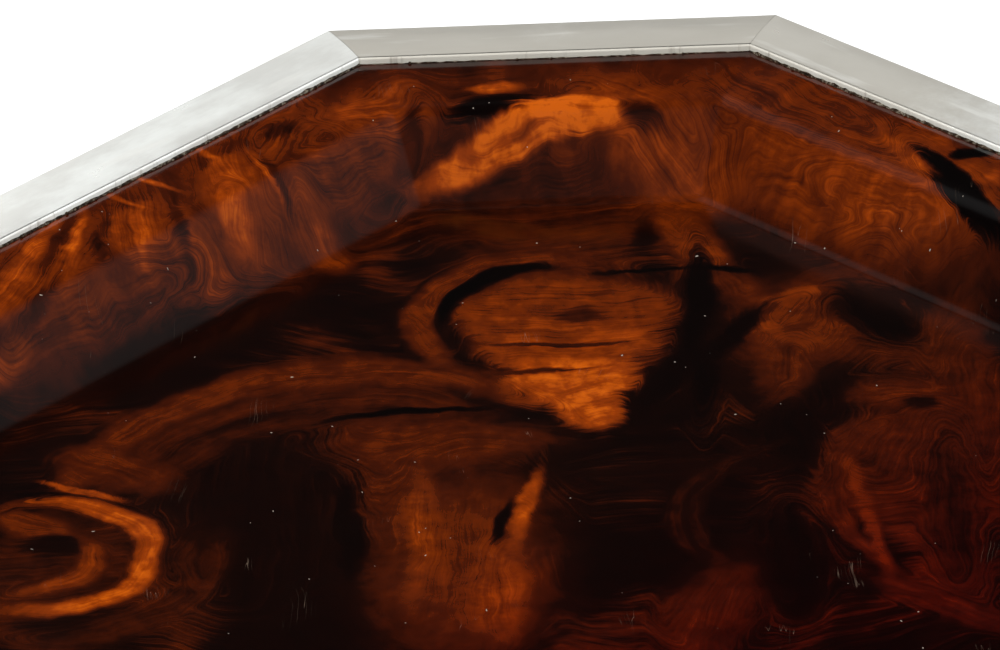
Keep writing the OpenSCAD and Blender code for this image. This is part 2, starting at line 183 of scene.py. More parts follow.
def pan_profile(depth=0.0, steps=10):
    """The pan's top face, or the face that deep below it, from its flange to the edge of its
    floor, as (inset, z)."""
    fold = (FLOOR_INSET, FLOOR_Z + FOLD_RADIUS)
    foot_x = fold[0] - FOLD_RADIUS * math.sin(WALL_SLOPE)
    foot_z = fold[1] - FOLD_RADIUS * math.cos(WALL_SLOPE)
    wall, shelf = math.tan(WALL_SLOPE), math.tan(SHELF_SLOPE)
    cross_x = (foot_z + foot_x * wall - FLANGE_Z - SHELF_INSET * shelf) / (wall - shelf)
    cross_z = FLANGE_Z - (cross_x - SHELF_INSET) * shelf
    tangent = SHOULDER_RADIUS * math.tan((WALL_SLOPE - SHELF_SLOPE) / 2)
    shoulder = (
        cross_x - tangent * math.cos(SHELF_SLOPE) - SHOULDER_RADIUS * math.sin(SHELF_SLOPE),
        cross_z + tangent * math.sin(SHELF_SLOPE) - SHOULDER_RADIUS * math.cos(SHELF_SLOPE))
    return ([(FLANGE_INSET, FLANGE_Z - depth), (SHELF_INSET, FLANGE_Z - depth)]
            + arc(shoulder, SHOULDER_RADIUS - depth, SHELF_SLOPE, WALL_SLOPE, steps)
            + arc(fold, -FOLD_RADIUS - depth, WALL_SLOPE, 0, steps))


def subdivide(profile, longest):
    """The profile with extra points where two neighbours lie further apart than longest."""
    points = [profile[0]]
    for a, b in zip(profile, profile[1:]):
        pieces = max(1, math.ceil(math.dist(a, b) / longest))
        points += [(a[0] + (b[0] - a[0]) * i / pieces, a[1] + (b[1] - a[1]) * i / pieces)
                   for i in range(1, pieces + 1)]
    return points


def corner_radius(inset):
    """The pan's corners are sharp under the rim and round off down the wall."""
    share = min(1, max(0, (inset - SHELF_INSET) / (FLOOR_INSET - SHELF_INSET)))
    return (0.6 + 4.4 * share) * MM


def make_pan():
    """The moulded pan: a swept top and underside, joined at the flange's edge, with floors."""
    corner_steps = 6
    top, under = pan_profile(), pan_profile(PAN_THICKNESS)
    section = subdivide(top, 4 * MM)[::-1] + subdivide(under, 12 * MM)
    points = []
    for inset, z in section:
        points += [(x, y, z) for x, y in rounded_outline(inset, corner_radius(inset), corner_steps)]
    count = SIDES * (corner_steps + 1)
    pan = mesh_object("moulded_pan", points, ring_faces(count, len(section)), math.radians(60))
    for floor in pan.data.polygons[-2:]:
        floor.use_smooth = False
    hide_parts("tray_pan")
    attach(pan, "tray")
    return pan


# ---- Rim ----

def rim_profile():
    """The rim's section as (inset, z), from the skirt's inner bottom edge round the outside."""
    crown_steps = 14
    crown = []
    for i in range(1, crown_steps + 1):
        t = i / crown_steps
        crown.append((RIM_EDGE_RADIUS + t * (RIM_WIDTH - RIM_EDGE_RADIUS - 1.1 * RIM_LIP_RADIUS),
                      RIM_Z + RIM_CROWN * math.sin(math.pi / 2 * t)))
    arris = arc((RIM_WIDTH - RIM_LIP_RADIUS, TABLE_HEIGHT - RIM_LIP_RADIUS),
                RIM_LIP_RADIUS, 0, math.pi / 2, 6)
    edge = arc((RIM_EDGE_RADIUS, RIM_Z - RIM_EDGE_RADIUS), RIM_EDGE_RADIUS, -math.pi / 2, 0, 6)
    return ([(SKIRT_THICKNESS, SKIRT_BOTTOM), (0.3 * MM, SKIRT_BOTTOM), (0, SKIRT_BOTTOM + 0.3 * MM)]
            + edge + crown + arris
            + [(RIM_WIDTH, FLANGE_Z), (FLANGE_INSET - 0.4 * MM, FLANGE_Z),
               (FLANGE_INSET - 0.4 * MM, RIM_Z - RIM_THICKNESS),
               (SKIRT_THICKNESS, RIM_Z - RIM_THICKNESS)])


def make_rim_bar(k, profile, material):
    """One mitred bar: the section swept along side k, its top very slightly uneven."""
    mitre_gap = 0.04 * MM
    hand_finish = 0.05 * MM
    stations = max(12, round(side_half(k, 0) / (3 * MM)))
    points, along_values, inset_values = [], [], []
    for i in range(stations + 1):
        share = 2 * i / stations - 1
        for inset, z in profile:
            along = share * (side_half(k, inset) - mitre_gap)
            p = side_point(k, inset, along, z)
            if z > RIM_Z - 0.2 * MM:
                p.z += hand_finish * wobble((along, inset, 0), 22 * MM, seed=k)
            points.append(p)
            along_values.append(side_half(k, inset) - abs(along))
            inset_values.append(inset)
    count = len(profile)
    faces = ring_faces(count, stations + 1)
    bar = mesh_object(f"rim_strip_{k + 1}", points, faces, math.radians(30))
    store(bar, "mitre_distance", along_values)
    store(bar, "inset", inset_values)
    bar.data.materials.append(material)
    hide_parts(f"rim_bar_{k + 1}")
    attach(bar, "tray")
    return bar


def resin_line():
    """The bead: a quarter round whose size wanders, all the way round under the rim."""
    ring_steps = 6
    points, faces = [], []
    for k in range(SIDES):
        stations = round(side_half(k, RIM_WIDTH) / (0.6 * MM))
        first = len(points)
        for i in range(stations + 1):
            share = 2 * i / stations - 1
            along = share * side_half(k, RIM_WIDTH)
            swell = wobble((along, k, 0), 4 * MM) + 0.6 * wobble((along, k, 5), 1.4 * MM)
            heavy = 1.0 if k % 2 == 0 else 0.45
            radius = heavy * (0.55 + 0.40 * swell) * MM
            for j in range(ring_steps + 1):
                a = math.pi / 2 * j / ring_steps
                reach = RIM_WIDTH + max(0.12 * MM, radius * math.sin(a) ** 1.3)
                z = FLANGE_Z + max(0.05 * MM, 1.5 * radius * math.cos(a))
                points.append(side_point(k, reach, share * side_half(k, reach), z))
            points.append(side_point(k, RIM_WIDTH, share * side_half(k, RIM_WIDTH), FLANGE_Z))
        row = ring_steps + 2
        for i in range(stations):
            for j in range(row):
                a, b = first + i * row + j, first + i * row + (j + 1) % row
                faces.append((a, a + row, b + row, b))
        last = first + stations * row
        faces.append(tuple(range(first, first + row)))
        faces.append(tuple(range(last, last + row))[::-1])
    return mesh_object("resin_line", points, faces, math.radians(70))


def resin_drops():
    """Drops that ran out of the bead, at random places along it."""
    rng = random.Random(4)
    drops = []
    for k in range(SIDES):
        spacing = (7 if k % 2 == 0 else 16) * MM
        for _ in range(round(side_half(k, 0) / spacing)):
            along = rng.uniform(-0.97, 0.97) * side_half(k, RIM_WIDTH)
            drops.append((k, along, rng.uniform(0.30, 0.7) * MM))
    shape = bmesh.new()
    for k, along, radius in drops:
        centre = side_point(k, RIM_WIDTH + 0.5 * radius, along, FLANGE_Z + 0.5 * radius)
        size = Matrix.Diagonal((1.0, rng.uniform(0.7, 1.1), rng.uniform(0.7, 1.3), 1.0))
        bmesh.ops.create_icosphere(shape, subdivisions=2, radius=radius,
                                   matrix=Matrix.Translation(centre) @ size)
    mesh = bpy.data.meshes.new("resin_drops")
    shape.to_mesh(mesh)
    shape.free()
    mesh.polygons.foreach_set("use_smooth", [True] * len(mesh.polygons))
    return add_object("resin_drops", mesh)


def make_resin(material):
    """The uneven bead of resin under the rim's inner edge, with drops that ran out of it."""
    bead, drops = resin_line(), resin_drops()
    for piece in (bead, drops):
        piece.data.materials.append(material)
        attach(piece, "tray")
    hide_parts("resin_bead")


# ---- Felt pad and straps ----

def make_felt(material):
    """The felt under the board: a thin slab with a soft, slightly ragged edge."""
    low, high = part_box("base_pad")
    inset = HALF_X - high.x
    corner_steps = 8
    top, bottom = high.z, low.z
    section = [(inset + 6 * MM, top), (inset, top), (inset - 0.2 * MM, (top + bottom) / 2),
               (inset + 0.3 * MM, bottom + 0.1 * MM), (inset + 1 * MM, bottom), (inset + 6 * MM, bottom)]
    points = []
    for n, (ring_inset, z) in enumerate(section):
        for x, y in rounded_outline(ring_inset, 3 * MM, corner_steps):
            ragged = 0.25 * MM * wobble((x, y, z), 3 * MM, seed=n)
            points.append((x + ragged, y - ragged, z))
    count = SIDES * (corner_steps + 1)
    felt = mesh_object("felt_pad", points, ring_faces(count, len(section)), math.radians(50))
    felt.data.materials.append(material)
    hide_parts("base_pad")
    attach(felt, "tray")


def smooth_path(points, steps):
    """A Catmull-Rom curve through the points, as evenly many points between each pair."""
    padded = [points[0], *points, points[-1]]
    path = []
    for a, b, c, d in zip(padded, padded[1:], padded[2:], padded[3:]):
        for i in range(steps):
            t = i / steps
            path.append(0.5 * (2 * b + (c - a) * t + (2 * a - 5 * b + 4 * c - d) * t ** 2
                               + (3 * b - a - 3 * c + d) * t ** 3))
    return path + [points[-1]]


def strap_end_path():
    """One end of a strap in its own rail's terms: distance inward from the rail's axis and
    height above it, from the riveted tip, round the rail, to the top of the rail."""
    tip = 21 * MM
    layer = STRAP_LOOP - STRAP_THICKNESS
    lead_in = [Vector((tip, layer)), Vector((15.5 * MM, layer)), Vector((11.6 * MM, 5.4 * MM))]
    turns = [math.radians(a) for a in range(10, -271, -20)]
    return lead_in + [STRAP_LOOP * Vector((math.cos(a), math.sin(a))) for a in turns]


def strap_section():
    """Half the outline of the strap's section: rounded edges and a creased line beside each."""
    half_width, half_thick = STRAP_WIDTH / 2, STRAP_THICKNESS / 2
    edge, crease, depth = 0.7 * MM, 2.2 * MM, 0.22 * MM
    face = [(half_width - crease - 0.5 * MM, half_thick), (half_width - crease, half_thick - depth),
            (half_width - crease + 0.5 * MM, half_thick), (half_width - edge, half_thick)]
    bend = [(half_width - edge + edge * math.sin(a), half_thick - edge + edge * math.cos(a))
            for a in (math.radians(30), math.radians(60), math.radians(90))]
    right_top = [(0.0, half_thick)] + face + bend
    right = right_top + [(x, -z) for x, z in right_top[::-1]]
    return right + [(-x, z) for x, z in right[::-1]][1:-1]


def make_strap(name, node, material):
    """A leather strap round both rails, riveted back under itself, a little slack and worn."""
    low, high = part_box(node)
    middle_x = (low.x + high.x) / 2
    rail_y = high.y - STRAP_LOOP - STRAP_THICKNESS / 2
    rail_z = high.z - STRAP_LOOP - STRAP_THICKNESS / 2
    near = [Vector((-rail_y + p.x, rail_z + p.y)) for p in strap_end_path()]
    far = [Vector((rail_y - p.x, rail_z + p.y)) for p in strap_end_path()][::-1]
    span = 14
    across = [Vector((-rail_y + 2 * rail_y * i / span, rail_z + STRAP_LOOP)) for i in range(1, span)]
    path = smooth_path(near + across + far, 4)
    section = strap_section()
    points = []
    for i, p in enumerate(path):
        before, after = path[max(i - 1, 0)], path[min(i + 1, len(path) - 1)]
        forward = (after - before).normalized()
        # the section's own height points away from the rail, on the path's left hand side
        up = Vector((-forward.y, forward.x))
        for x, h in section:
            at = p - up * h
            wave = 0.12 * MM * wobble((x, at.x, at.y), 14 * MM, seed=middle_x)
            points.append((middle_x + x + wave, at.x, at.y))
    faces = ring_faces(len(section), len(path))
    strap = mesh_object(name, points, faces, math.radians(40))
    strap.data.materials.append(material)
    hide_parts(node)
    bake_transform(strap)


# ---- Short ways to build materials ----

class Graph:
    """Builds one material or world. Each call adds a node and gives back its output."""

    def __init__(self, name, kind="materials"):
        self.made = getattr(bpy.data, kind).new(name)
        self.made.use_nodes = True
        self.tree = self.made.node_tree
        self.tree.nodes.clear()

    def node(self, kind, **settings):
        made = self.tree.nodes.new(kind)
        for key, value in settings.items():
            setattr(made, key, value)
        return made

    def feed(self, socket, value):
        """A socket takes another node's output or a plain value."""
        if isinstance(value, bpy.types.NodeSocket):
            self.tree.links.new(value, socket)
        else:
            socket.default_value = value

    def feed_all(self, sockets, values):
        for socket, value in zip(sockets, values):
            self.feed(socket, value)

    def position(self):
        return self.node("ShaderNodeTexCoord").outputs["Object"]

    def attribute(self, name):
        return self.node("ShaderNodeAttribute", attribute_name=name).outputs["Fac"]

    def math(self, operation, a, b=0.0, clamp=False):
        made = self.node("ShaderNodeMath", operation=operation, use_clamp=clamp)
        self.feed_all(made.inputs, (a, b))
        return made.outputs[0]

    def times(self, a, b, clamp=False):
        return self.math("MULTIPLY", a, b, clamp)

    def plus(self, a, b):
        return self.math("ADD", a, b)

    def minus(self, a, b, clamp=False):
        return self.math("SUBTRACT", a, b, clamp)

    def vector(self, operation, a, b=(0, 0, 0)):
        made = self.node("ShaderNodeVectorMath", operation=operation)
        self.feed_all(made.inputs, (a, b))
        return made.outputs["Value" if operation in ("LENGTH", "DISTANCE", "DOT_PRODUCT") else "Vector"]

    def dot(self, a, b):
        return self.vector("DOT_PRODUCT", a, b)

    def moved(self, a, offset):
        return self.vector("ADD", a, offset)

    def stretched(self, a, factors):
        return self.vector("MULTIPLY", a, factors)

    def scaled(self, a, factor):
        made = self.node("ShaderNodeVectorMath", operation="SCALE")
        self.feed(made.inputs[0], a)
        self.feed(made.inputs["Scale"], factor)
        return made.outputs["Vector"]

    def combine(self, x, y, z=0.0):
        made = self.node("ShaderNodeCombineXYZ")
        self.feed_all(made.inputs, (x, y, z))
        return made.outputs[0]

    def separate(self, vector):
        made = self.node("ShaderNodeSeparateXYZ")
        self.feed(made.inputs[0], vector)
        return made.outputs[0], made.outputs[1], made.outputs[2]

    def noise(self, vector, scale=1.0, detail=3.0, roughness=0.5, distortion=0.0, colour=False):
        made = self.node("ShaderNodeTexNoise")
        names = ("Vector", "Scale", "Detail", "Roughness", "Distortion")
        self.feed_all([made.inputs[n] for n in names], (vector, scale, detail, roughness, distortion))
        return made.outputs["Color" if colour else "Fac"]

    def smooth(self, value, low, high, to_low=0.0, to_high=1.0):
        """Smoothly from to_low at low to to_high at high, level beyond both."""
        made = self.node("ShaderNodeMapRange", interpolation_type="SMOOTHSTEP", clamp=True)
        self.feed_all(made.inputs, (value, low, high, to_low, to_high))
        return made.outputs[0]

    def ramp(self, factor, stops):
        made = self.node("ShaderNodeValToRGB")
        elements = made.color_ramp.elements
        for element, (place, colour) in zip((elements[0], elements[1]), (stops[0], stops[-1])):
            element.position = place
            element.color = (*colour, 1.0)
        for place, colour in stops[1:-1]:
            elements.new(place).color = (*colour, 1.0)
        self.feed(made.inputs[0], factor)
        return made.outputs[0]

    def linear(self, value, zero, one):
        """0 where the value is zero's and 1 where it is one's, and on in both directions."""
        made = self.node("ShaderNodeMapRange", clamp=False)
        self.feed_all(made.inputs, (value, zero, one, 0.0, 1.0))
        return made.outputs[0]

    def mix_vector(self, factor, a, b):
        made = self.node("ShaderNodeMix", data_type="VECTOR")
        self.feed_all((made.inputs[0], made.inputs[4], made.inputs[5]), (factor, a, b))
        return made.outputs[1]

    def mix(self, factor, a, b):
        """From number a to number b."""
        made = self.node("ShaderNodeMix", data_type="FLOAT")
        self.feed_all((made.inputs[0], made.inputs[2], made.inputs[3]), (factor, a, b))
        return made.outputs[0]

    def tint(self, factor, a, b, how="MIX"):
        """From colour a to colour b."""
        made = self.node("ShaderNodeMix", data_type="RGBA", blend_type=how)
        opaque = [(*c, 1.0) if isinstance(c, tuple) else c for c in (a, b)]
        self.feed_all((made.inputs[0], made.inputs[6], made.inputs[7]), (factor, *opaque))
        return made.outputs[2]

    def bump(self, height, distance, strength=1.0, normal=None):
        made = self.node("ShaderNodeBump")
        made.inputs["Strength"].default_value = strength
        made.inputs["Distance"].default_value = distance
        self.feed(made.inputs["Height"], height)
        if normal is not None:
            self.feed(made.inputs["Normal"], normal)
        return made.outputs[0]

    def rounded(self, radius):
        """Normals that round sharp edges over, and how much of an edge a point is on."""
        soft = self.node("ShaderNodeBevel", samples=6)
        soft.inputs["Radius"].default_value = radius
        true = self.node("ShaderNodeNewGeometry").outputs["Normal"]
        edge = self.minus(1.0, self.dot(soft.outputs[0], true), clamp=True)
        return soft.outputs[0], edge

    def finish(self, **inputs):
        shader = self.node("ShaderNodeBsdfPrincipled")
        for key, value in inputs.items():
            self.feed(shader.inputs[key.replace("_", " ")], value)
        self.feed(self.node("ShaderNodeOutputMaterial").inputs[0], shader.outputs[0])
        return self.made


# ---- Tortoiseshell ----
# The pattern is laid out in the corner's own terms, in millimetres: s to the right along the
# canted corner that the camera faces, t from that corner's outer edge in over the tray.

Pool = namedtuple("Pool", "s t half_long half_wide turn tone softness", defaults=[0.8])
Arc = namedtuple("Arc", "s t radius half_wide middle half_span tone softness", defaults=[0.8])

# Pools and arcs of colour, later ones over earlier ones. Angles are in degrees, with 0 to the
# right and 90 towards the canted corner; tones run from 0 black to 1 amber.
SHAPES = [
    # broad brown ground of the three walls
    Pool(0, 46, 78, 20, 0, 0.36),
    Pool(-78, 66, 24, 18, -70, 0.50),
    Pool(-104, 96, 30, 18, -76, 0.53),
    Pool(-132, 122, 30, 18, -76, 0.53),
    Pool(-162, 150, 34, 18, 70, 0.54),
    Pool(100, 88, 74, 24, -45, 0.53),
    # far wall
    Pool(-57, 50, 16, 12, 60, 0.62),
    Pool(-50, 60, 12, 3.5, 80, 0.20, 0.6),
    Pool(4, 70, 40, 6, 6, 0.30),
    Pool(30, 58, 32, 12, -42, 0.62),
    Pool(-20, 31, 8, 4, 90, 0.45),
    Pool(-20, 40, 8, 3.0, 4, 0.84, 0.6),
    Pool(-21, 49, 15, 4.2, 6, 0.02, 0.4),
    Pool(-22, 60.5, 29, 4.6, 17, 0.86, 0.45),
    Pool(-6, 55, 22, 6.0, 14, 0.94, 0.35),
    Pool(5, 51.5, 18, 5.4, -6, 1.0, 0.3),
    Pool(-14, 57.5, 12, 1.3, 14, 0.74),
    Pool(27, 54, 6, 3.5, -30, 0.26),
    # right wall
    Pool(78, 60, 36, 10, -48, 0.46),
    Pool(92, 100, 42, 11, -42, 0.58, 0.7),
    Pool(103, 107, 26, 5, -42, 0.68, 0.7),
    Pool(126, 115, 27, 5.8, -64, 0.0, 0.2),
    Pool(112, 95, 15, 3, -62, 0.64, 0.5),
    Pool(132, 98, 7, 3.6, 0, 0.0, 0.35),
    Pool(118, 83, 13, 4, -58, 0.60, 0.5),
    Pool(134, 110, 9, 4.4, -52, 0.58, 0.4),
    # left wall
    Pool(-85, 73, 16, 13, 70, 0.48),
    Pool(-89, 66, 7, 4, 50, 0.24, 0.6),
    Pool(-64, 52, 12, 5, 20, 0.62, 0.7),
    Pool(-72, 78, 28, 6, 42, 0.50, 0.7),
    Pool(-78, 101, 13, 7, -60, 0.56, 0.6),
    Pool(-107, 96, 15, 9, -75, 0.70, 0.5),
    Pool(-104, 108, 10, 5, -80, 0.74, 0.5),
    Pool(-95, 88, 13, 1.8, -60, 0.76, 0.7),
    Pool(-91, 92, 9, 1.6, -62, 0.30, 0.9),
    Pool(-113, 128, 14, 8, -62, 0.61, 0.6),
    Pool(-124, 113, 15, 2.2, -72, 0.30, 0.9),
    Pool(-137, 126, 16, 7, -80, 0.64, 0.5),
    Pool(-134, 130, 12, 1.6, -80, 0.78, 0.7),
    Pool(-146, 129, 14, 2.2, 88, 0.30, 0.9),
    Pool(-153, 130, 16, 2.2, 86, 0.78, 0.6),
    Pool(-160, 138, 16, 2.8, 70, 0.24),
    Pool(-167, 142, 22, 3.0, 66, 0.74, 0.6),
    Pool(-174, 160, 24, 5, 64, 0.66, 0.6),
    Pool(-168, 172, 18, 2.0, 62, 0.30, 0.7),
    Pool(-176, 186, 16, 3.4, 50, 0.64, 0.6),
    Pool(-146, 156, 34, 6, 47, 0.42),
    Pool(-125, 96, 38, 3.0, 45, 0.38, 0.9),
    Pool(-131, 99, 8, 1.1, -25, 0.76, 0.9),
    Pool(-141, 109, 9, 1.1, -25, 0.76, 0.9),
    Pool(-113, 83, 7, 1.1, -35, 0.70, 0.9),
    Pool(-115, 146, 34, 8, 42, 0.12),
    # the floor below the far wall
    Pool(0, 90, 40, 13, 0, 0.28),
    Pool(-2, 98, 24, 8, 12, 0.36),
    Pool(27, 93, 12, 4, 80, 0.08, 0.7),
    Pool(41, 98, 20, 8, -62, 0.52, 0.6),
    Pool(45, 110, 10, 6, -50, 0.64, 0.5),
    Pool(54, 128, 13, 8, -60, 0.38, 0.6),
    Pool(26, 117, 15, 1.1, 4, 0.02, 0.7),
    Pool(53, 119, 12, 1.5, -10, 0.02, 0.7),
    # middle of the floor
    Arc(-8, 148, 39, 5.5, 150, 72, 0.48, 0.5),
    Pool(-2, 140, 37, 20, 0, 0.56, 0.25),
    Pool(0, 162, 31, 20, 0, 0.62, 0.3),
    Pool(13, 158, 10, 8, 0, 0.72, 0.6),
    Pool(-1, 184, 22, 15, 0, 0.84, 0.3),
    Pool(3, 198, 11, 15, 20, 0.84, 0.35),
    Pool(-14, 176, 15, 1.4, 2, 0.34, 0.6),
    Pool(-6, 160, 20, 1.3, -3, 0.30, 0.6),
    Pool(4, 142, 7, 4, 0, 0.30, 0.5),
    Arc(-8, 146, 31.5, 3.2, 134, 50, 0.0, 0.55),
    Pool(42, 155, 50, 6, 88, 0.03, 0.5),
    Pool(30, 184, 16, 5, 65, 0.05, 0.5),
    # right of the floor
    Pool(76, 150, 32, 20, 60, 0.50),
    Arc(76, 148, 14, 3, 150, 100, 0.62, 0.6),
    Pool(66, 183, 20, 8, 80, 0.40, 0.7),
    Pool(53, 158, 20, 4, 58, 0.05, 0.6),
    Pool(97, 150, 21, 11, -60, 0.04, 0.6),
    Pool(122, 164, 24, 10, 85, 0.36),
    Pool(122, 205, 38, 9, 85, 0.35),
    Pool(100, 197, 13, 9, 0, 0.42, 0.6),
    Pool(106, 203, 5, 4, 0, 0.10, 0.6),
    Pool(100, 228, 22, 11, 75, 0.36, 0.7),
    Pool(112, 264, 42, 8, 88, 0.23),
    Arc(132, 256, 56, 3, 180, 44, 0.40, 0.7),
    Pool(86, 268, 30, 2.6, -84, 0.54),
    Pool(66, 225, 24, 8, 90, 0.07),
    # left of the floor
    Pool(-98, 252, 56, 26, 90, 0.10),
    Arc(-70, 262, 64, 5, 112, 52, 0.27),
    Arc(-70, 262, 76, 4.5, 112, 56, 0.33, 0.7),
    Arc(-70, 262, 89, 7, 110, 58, 0.45, 0.55),
    Pool(-38, 217, 32, 12, 0, 0.42, 0.7),
    Pool(-50, 198.5, 24, 1.7, 4, 0.02, 0.5),
    Pool(-140, 225, 20, 8, -30, 0.44, 0.7),
    Pool(-150, 236, 14, 2, -22, 0.76, 0.4),
    Pool(-152, 242, 18, 4, -14, 0.0, 0.25),
    Arc(-156, 268, 49, 5, -45, 52, 0.28),
    Pool(-158, 272, 25, 24, 0, 0.28, 0.7),
    Pool(-164, 256, 13, 6, -20, 0.50, 0.5),
    Pool(-156, 268, 10, 6, 0, 0.10, 0.5),
    Arc(-164, 272, 19, 4.0, -35, 62, 0.56, 0.6),
    Arc(-158, 272, 30, 4.6, 0, 112, 0.78, 0.45),
    Pool(-114, 276, 14, 5, 90, 0.26, 0.7),
    # the floor nearest the middle of the tray
    Pool(-36, 282, 50, 26, 88, 0.48),
    Pool(-48, 264, 32, 5, 88, 0.60, 0.6),
    Pool(-26, 302, 24, 8, 88, 0.62, 0.7),
    Pool(-22, 262, 10, 2.2, 75, 0.06, 0.6),
    Pool(-15, 254, 20, 3.2, 80, 0.78, 0.6),
    Pool(-69, 262, 28, 4, 90, 0.06, 0.6),
    Pool(30, 236, 28, 6, 0, 0.14),
    Arc(64, 264, 36, 2.6, 165, 50, 0.24, 0.9),
    Arc(80, 264, 46, 2.4, 165, 45, 0.22, 0.9),
    Pool(38, 310, 24, 12, 70, 0.38),
    Pool(104, 314, 26, 6, -40, 0.34),
    Pool(62, 286, 30, 10, 90, 0.07),
]

# Stirs turn the grain between the shapes: s, t, radius, angle in degrees at the middle
STIRS = [
    (-4, 160, 60, 70),
    (92, 205, 50, 90),
    (-240, 420, 90, 140),
    (-60, 420, 80, -120),
    (130, 440, 80, 110),
    (-330, 280, 80, -90),
    (60, 560, 80, 130),
    (-140, 560, 90, -110),
]


def corner_terms(g):
    """The surface point in the corner's terms, s and t in millimetres."""
    root = math.sqrt(0.5)
    corner_x, corner_y = HALF_X - CORNER_CUT / 2, HALF_Y - CORNER_CUT / 2
    p = g.vector("SUBTRACT", g.position(), (corner_x, corner_y, 0))
    s = g.dot(p, (root / MM, -root / MM, 0))
    t = g.dot(p, (-root / MM, -root / MM, 0))
    return g.combine(s, t)


def shifted(g, point, size, reach):
    """The point moved about in X and Y by noise of that size, by up to about reach."""
    colour = g.noise(point, 1 / size, detail=2.0, colour=True)
    offset = g.stretched(g.vector("SUBTRACT", colour, (0.5, 0.5, 0.5)), (2 * reach, 2 * reach, 0))
    return g.moved(point, offset)


def stirred(g, point):
    """The point carried backwards through every stir, which bends the grain round them."""
    for s, t, radius, angle in STIRS:
        reach = g.math("DIVIDE", g.vector("DISTANCE", point, (s, t, 0)), radius)
        fall = g.math("EXPONENT", g.times(g.times(reach, reach), -1.0))
        turn = g.node("ShaderNodeVectorRotate", rotation_type="Z_AXIS")
        g.feed(turn.inputs["Vector"], point)
        g.feed(turn.inputs["Center"], (s, t, 0))
        g.feed(turn.inputs["Angle"], g.times(fall, math.radians(angle)))
        point = turn.outputs[0]
    return point


def pool_terms(g, point, pool):
    """How far out in a pool a point is, 1 at its edge, and its place in the pool's own terms."""
    made = g.node("ShaderNodeMapping", vector_type="TEXTURE")
    g.feed(made.inputs["Vector"], point)
    made.inputs["Location"].default_value = (pool.s, pool.t, 0)
    made.inputs["Rotation"].default_value = (0, 0, math.radians(-pool.turn))
    made.inputs["Scale"].default_value = (pool.half_long, pool.half_wide, 1)
    return g.vector("LENGTH", made.outputs[0]), made.outputs[0]


def arc_terms(g, point, arc):
    """The same for an arc, which tapers towards its two ends."""
    middle = math.radians(arc.middle)
    offset = g.vector("SUBTRACT", point, (arc.s, arc.t, 0))
    wide = g.linear(g.vector("LENGTH", offset), arc.radius, arc.radius + arc.half_wide)
    heading = g.vector("NORMALIZE", offset)
    towards = g.dot(heading, (math.cos(middle), -math.sin(middle), 0))
    along = g.linear(towards, 1.0, math.cos(math.radians(arc.half_span)))
    aside = g.dot(heading, (math.sin(middle), math.cos(middle), 0))
    return g.vector("LENGTH", g.combine(wide, along)), g.combine(aside, wide)


def grain_along(g, point, flow, shape):
    """The flow turned to run along a shape, out past its edge."""
    if isinstance(shape, Arc):
        reach, local = arc_terms(g, point, shape)
        size = (shape.radius, shape.half_wide, 0)
    else:
        reach, local = pool_terms(g, point, shape)
        size = (shape.half_long, shape.half_wide, 0)
    own = g.node("ShaderNodeVectorMath", operation="MULTIPLY_ADD")
    g.feed_all(own.inputs, (local, size, (shape.s, shape.t, 0)))
    return g.mix_vector(g.smooth(reach, 1.6, 0.8), flow, own.outputs[0])


# Each batch of shapes drags the next one a little, which also keeps the shader within its limits
BATCH = 6


def grain_flow(g, plain, warped):
    """Terms that run along the nearest wide shape, for the grain to follow."""
    flow = stirred(g, shifted(g, plain, 60, 14))
    wide_shapes = [shape for shape in SHAPES if isinstance(shape, Arc) or shape.half_wide >= 5]
    for i, shape in enumerate(wide_shapes):
        if i % BATCH == 0:
            point = g.moved(warped, g.scaled(flow, 0.002))
        flow = grain_along(g, point, flow, shape)
    return shifted(g, flow, 34, 2.4)


def sheet_grain(g, flow):
    """Bands, threads and hairs along the flow, above and below zero."""
    bands = g.noise(g.stretched(flow, (1 / 60, 1 / 5, 0)), detail=4.0, roughness=0.6)
    threads = g.noise(g.moved(g.stretched(flow, (1 / 30, 1 / 1.3, 0)), (0, 0, 7)), roughness=0.6)
    hairs = g.noise(g.stretched(flow, (1 / 12, 1 / 0.5, 0)), detail=2.0, roughness=0.6)
    fine = g.plus(threads, g.times(g.minus(hairs, 0.5), 0.45))
    return g.plus(g.times(g.minus(bands, 0.5), 1.4), g.times(g.minus(fine, 0.5), 1.2))


def ground_tone(g, plain, warped, grain):
    """Large soft patches, which show between the shapes and all over the rest of the sheet."""
    broad = g.noise(g.moved(warped, (0, 0, 30)), 1 / 75, detail=2.0, distortion=0.6)
    patch = g.smooth(g.plus(broad, g.times(grain, 0.16)), 0.42, 0.66)
    offset = g.vector("SUBTRACT", plain, (-10, 170, 0))
    reach = g.vector("LENGTH", g.stretched(offset, (1 / 260, 1 / 220, 0)))
    away = g.smooth(reach, 0.85, 1.15)
    return g.mix(away, g.mix(patch, 0.08, 0.38), g.mix(patch, 0.05, 0.85))


def poured_tone(g, tone, warped, grain):
    """The shapes' tones laid over the ground's, with edges that the grain feathers."""
    feather = g.times(grain, 0.6)
    ragged = shifted(g, warped, 4, 0.7)
    for i, shape in enumerate(SHAPES):
        if i % BATCH == 0:
            point = g.moved(ragged, g.combine(g.times(tone, 0.4), 0.0))
        terms = arc_terms if isinstance(shape, Arc) else pool_terms
        reach = g.plus(terms(g, point, shape)[0], feather)
        weight = g.smooth(reach, 1 + shape.softness * 0.8, 1 - shape.softness * 0.8)
        tone = g.mix(weight, tone, shape.tone)
    return tone


